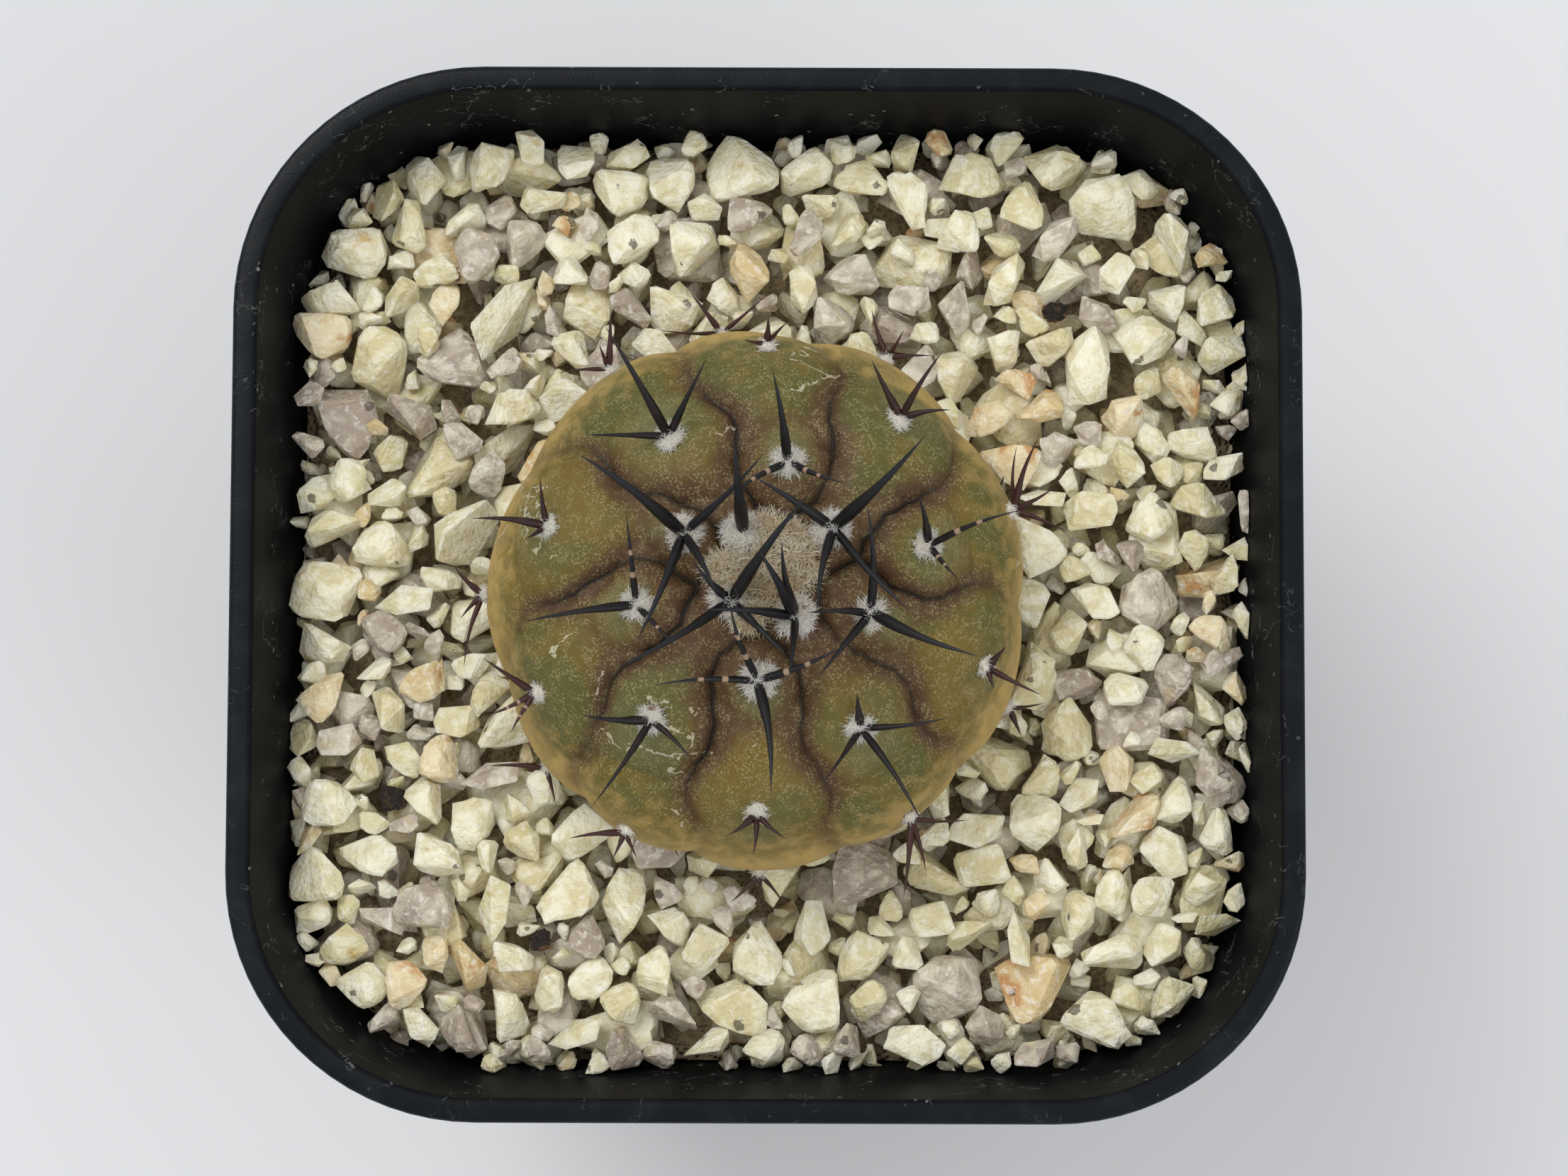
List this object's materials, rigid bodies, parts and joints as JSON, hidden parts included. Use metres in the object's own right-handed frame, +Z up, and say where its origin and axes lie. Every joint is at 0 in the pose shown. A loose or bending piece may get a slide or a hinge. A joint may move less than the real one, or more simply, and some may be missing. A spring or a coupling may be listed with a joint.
{
  "type": "potted round cactus",
  "caption": "Round ribbed cactus with a woolly crown and dark spines, in a black rounded square nursery pot with a pale gravel top dressing.",
  "frame": {"origin": "middle of the pot's footprint, on the surface that the pot stands on", "axes": "+Z up out of the pot; +X and +Y square to the pot's sides"},
  "size_m": [0.09, 0.0886, 0.1035],
  "materials": {
    "pot_plastic": "satin",
    "potting_soil": "matte",
    "pale_gravel": "matte",
    "cactus_skin": "satin",
    "wool_felt": "matte",
    "spine_horn": "satin"
  },
  "bodies": {
    "root": {"pot": "pot_plastic", "substrate": "potting_soil", "gravel_bed": "pale_gravel", "cactus_stem": "cactus_skin", "crown_wool": "wool_felt", "spine_cluster_01": "spine_horn", "spine_cluster_02": "spine_horn", "spine_cluster_03": "spine_horn", "spine_cluster_04": "spine_horn", "spine_cluster_05": "spine_horn", "spine_cluster_06": "spine_horn", "spine_cluster_07": "spine_horn", "spine_cluster_08": "spine_horn", "spine_cluster_09": "spine_horn", "spine_cluster_10": "spine_horn", "spine_cluster_11": "spine_horn", "spine_cluster_12": "spine_horn", "spine_cluster_13": "spine_horn", "spine_cluster_14": "spine_horn", "spine_cluster_15": "spine_horn", "spine_cluster_16": "spine_horn", "spine_cluster_17": "spine_horn", "spine_cluster_18": "spine_horn", "spine_cluster_19": "spine_horn", "spine_cluster_20": "spine_horn", "spine_cluster_21": "spine_horn", "spine_cluster_22": "spine_horn", "spine_cluster_23": "spine_horn", "spine_cluster_24": "spine_horn", "spine_cluster_25": "spine_horn", "spine_cluster_26": "spine_horn", "spine_cluster_27": "spine_horn", "spine_cluster_28": "spine_horn", "spine_cluster_29": "spine_horn", "spine_cluster_30": "spine_horn", "spine_cluster_31": "spine_horn", "spine_cluster_32": "spine_horn", "spine_cluster_33": "spine_horn", "spine_cluster_34": "spine_horn", "spine_cluster_35": "spine_horn", "spine_cluster_36": "spine_horn", "gravel_stone_01": "pale_gravel", "gravel_stone_02": "pale_gravel", "gravel_stone_03": "pale_gravel", "gravel_stone_04": "pale_gravel", "gravel_stone_05": "pale_gravel", "gravel_stone_06": "pale_gravel", "gravel_stone_07": "pale_gravel", "gravel_stone_08": "pale_gravel", "gravel_stone_09": "pale_gravel", "gravel_stone_10": "pale_gravel", "gravel_stone_11": "pale_gravel", "gravel_stone_12": "pale_gravel", "soil_crumb_01": "potting_soil", "soil_crumb_02": "potting_soil", "soil_crumb_03": "potting_soil"}
  },
  "joints": []
}
